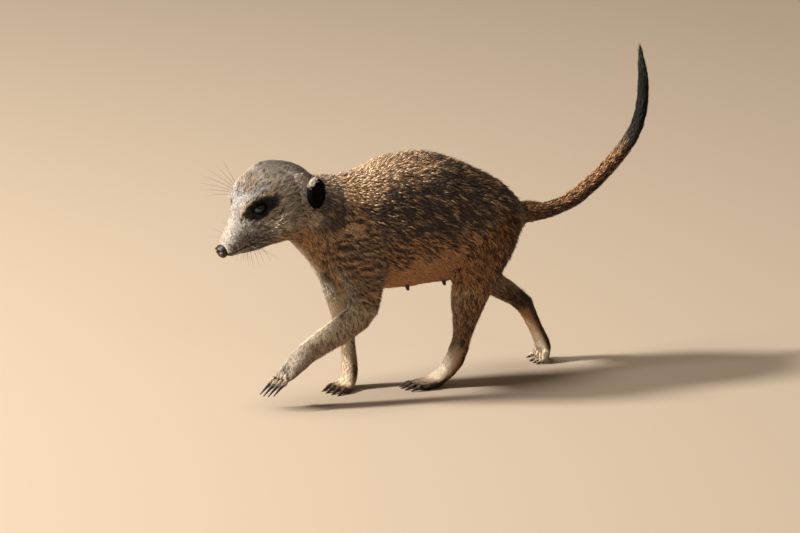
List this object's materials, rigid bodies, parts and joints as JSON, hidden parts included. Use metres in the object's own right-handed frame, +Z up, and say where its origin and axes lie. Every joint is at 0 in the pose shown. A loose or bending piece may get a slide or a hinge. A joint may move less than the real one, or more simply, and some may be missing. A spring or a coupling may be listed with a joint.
{
  "type": "meerkat",
  "caption": "Meerkat in mid-stride on three feet, left forepaw reaching forward, head low, tail raised in a curve; short grizzled coat, black eye patches, ears, claws and tail tip.",
  "frame": {"origin": "on the floor, under the middle of the animal's length and width", "axes": "+X to the animal's left, -Y the way it walks, +Z up"},
  "size_m": [0.0746, 0.3428, 0.2255],
  "materials": {
    "coat_grizzled": "short grizzled fur",
    "coat_buff": "short buff fur",
    "coat_cream": "short cream fur",
    "coat_black": "short black fur",
    "nose_leather": "moist pebbled skin",
    "claw_horn": "polished horn",
    "eye": "wet and glossy"
  },
  "bodies": {
    "root": {"claw_fore_left_1": "claw_horn", "claw_fore_left_2": "claw_horn", "claw_fore_left_3": "claw_horn", "claw_fore_left_4": "claw_horn", "claw_fore_right_1": "claw_horn", "claw_fore_right_2": "claw_horn", "claw_fore_right_3": "claw_horn", "claw_fore_right_4": "claw_horn", "claw_hind_left_1": "claw_horn", "claw_hind_left_2": "claw_horn", "claw_hind_left_3": "claw_horn", "claw_hind_left_4": "claw_horn", "claw_hind_right_1": "claw_horn", "claw_hind_right_2": "claw_horn", "claw_hind_right_3": "claw_horn", "claw_hind_right_4": "claw_horn", "ear_left": "coat_black", "ear_right": "coat_black", "eye_left": "eye", "eye_right": "eye", "fore_paw_left": "coat_cream", "fore_paw_right": "coat_cream", "forearm_left": "coat_cream", "forearm_right": "coat_cream", "head": "coat_grizzled", "hind_paw_left": "coat_cream", "hind_paw_right": "coat_cream", "lower_jaw": "coat_cream", "neck": "coat_grizzled", "nose": "nose_leather", "shank_left": "coat_grizzled", "shank_right": "coat_grizzled", "tail_base": "coat_buff", "tail_middle": "coat_buff", "tail_tip": "coat_black", "thigh_left": "coat_grizzled", "thigh_right": "coat_grizzled", "trunk": "coat_grizzled", "upper_arm_left": "coat_grizzled", "upper_arm_right": "coat_grizzled"}
  },
  "joints": []
}
